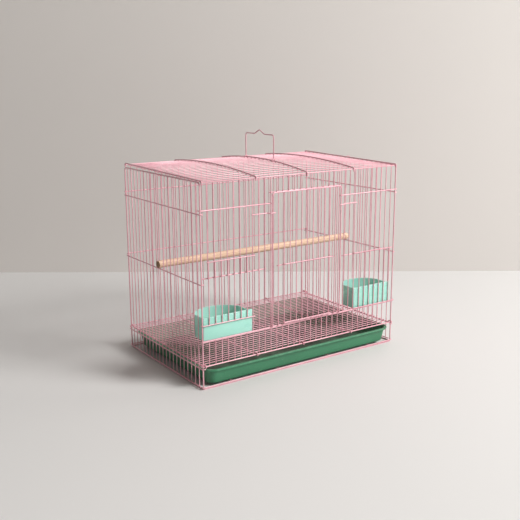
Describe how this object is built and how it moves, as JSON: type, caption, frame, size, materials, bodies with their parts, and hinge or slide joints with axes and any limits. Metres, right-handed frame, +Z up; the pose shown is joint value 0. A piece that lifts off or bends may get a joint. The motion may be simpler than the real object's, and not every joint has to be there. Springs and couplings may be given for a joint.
{
  "type": "wire bird breeding cage",
  "caption": "Free-standing wire bird cage with a sliding nest door, hatch, feeder doors and cups, perch, floor grate, pull-out tray and folding handle.",
  "frame": {"origin": "on the floor, under the middle of the whole outline seen from above", "axes": "+Z up, +Y from the front (doors) to the back, +X to the right seen from the front"},
  "size_m": [0.4602, 0.299, 0.4359],
  "materials": {
    "pink_wire": "satin powder coat",
    "ring_wire": "satin powder coat",
    "mint_cup": "semi-gloss moulded",
    "green_tray": "semi-gloss moulded",
    "perch_wood": "bare turned dowel"
  },
  "bodies": {
    "cage": {"base_ring": "pink_wire", "tray_supports": "pink_wire", "side_frame_left": "pink_wire", "side_frame_right": "pink_wire", "side_bars_left": "pink_wire", "side_bars_right": "pink_wire", "side_cross_wires_left": "pink_wire", "side_cross_wires_right": "pink_wire", "front_bars": "pink_wire", "front_cross_wires": "pink_wire", "door_guide_fingers": "pink_wire", "back_bars": "pink_wire", "back_cross_wires": "pink_wire", "roof_wires": "pink_wire", "roof_ribs": "pink_wire", "grate_wires": "pink_wire", "grate_ribs": "pink_wire", "hog_rings": "ring_wire"},
    "nest_door": {"nest_door_frame": "pink_wire", "nest_door_bars": "pink_wire", "nest_door_cross_wires": "pink_wire"},
    "hatch": {"hatch_bars": "pink_wire", "hatch_cross_wires": "pink_wire"},
    "feeder_door_left": {"feeder_door_left_bars": "pink_wire", "feeder_door_left_cross_wires": "pink_wire"},
    "feeder_door_right": {"feeder_door_right_bars": "pink_wire", "feeder_door_right_cross_wires": "pink_wire"},
    "feeder_cup_left": {"feeder_cup_left": "mint_cup"},
    "feeder_cup_right": {"feeder_cup_right": "mint_cup"},
    "perch": {"perch": "perch_wood"},
    "tray": {"tray": "green_tray"},
    "handle": {"handle": "pink_wire"}
  },
  "joints": [
    {"name": "tray_slide", "type": "slide", "parent": "cage", "child": "tray", "axis": [0, -1, 0], "range_m": [0, 0.26]},
    {"name": "nest_door_lift", "type": "slide", "parent": "cage", "child": "nest_door", "axis": [0, 0, 1], "range_m": [0, 0.15]},
    {"name": "hatch_lift", "type": "slide", "parent": "nest_door", "child": "hatch", "axis": [0, 0, 1], "range_m": [0, 0.1]},
    {"name": "feeder_door_left_lift", "type": "slide", "parent": "cage", "child": "feeder_door_left", "axis": [0, 0, 1], "range_m": [-0.0265, 0.068]},
    {"name": "feeder_door_right_lift", "type": "slide", "parent": "cage", "child": "feeder_door_right", "axis": [0, 0, 1], "range_m": [0, 0.095]},
    {"name": "feeder_cup_left_lift", "type": "slide", "parent": "cage", "child": "feeder_cup_left", "axis": [0, 0, 1], "range_m": [0, 0.06]},
    {"name": "feeder_cup_right_lift", "type": "slide", "parent": "cage", "child": "feeder_cup_right", "axis": [0, 0, 1], "range_m": [0, 0.06]},
    {"name": "perch_lift", "type": "slide", "parent": "cage", "child": "perch", "axis": [0, 0, 1], "range_m": [0, 0.1]},
    {"name": "handle_fold", "type": "hinge", "parent": "cage", "child": "handle", "pos_m": [0, 0.0086, 0.37945], "axis": [0, 1, 0], "range_deg": [-85, 85]}
  ]
}
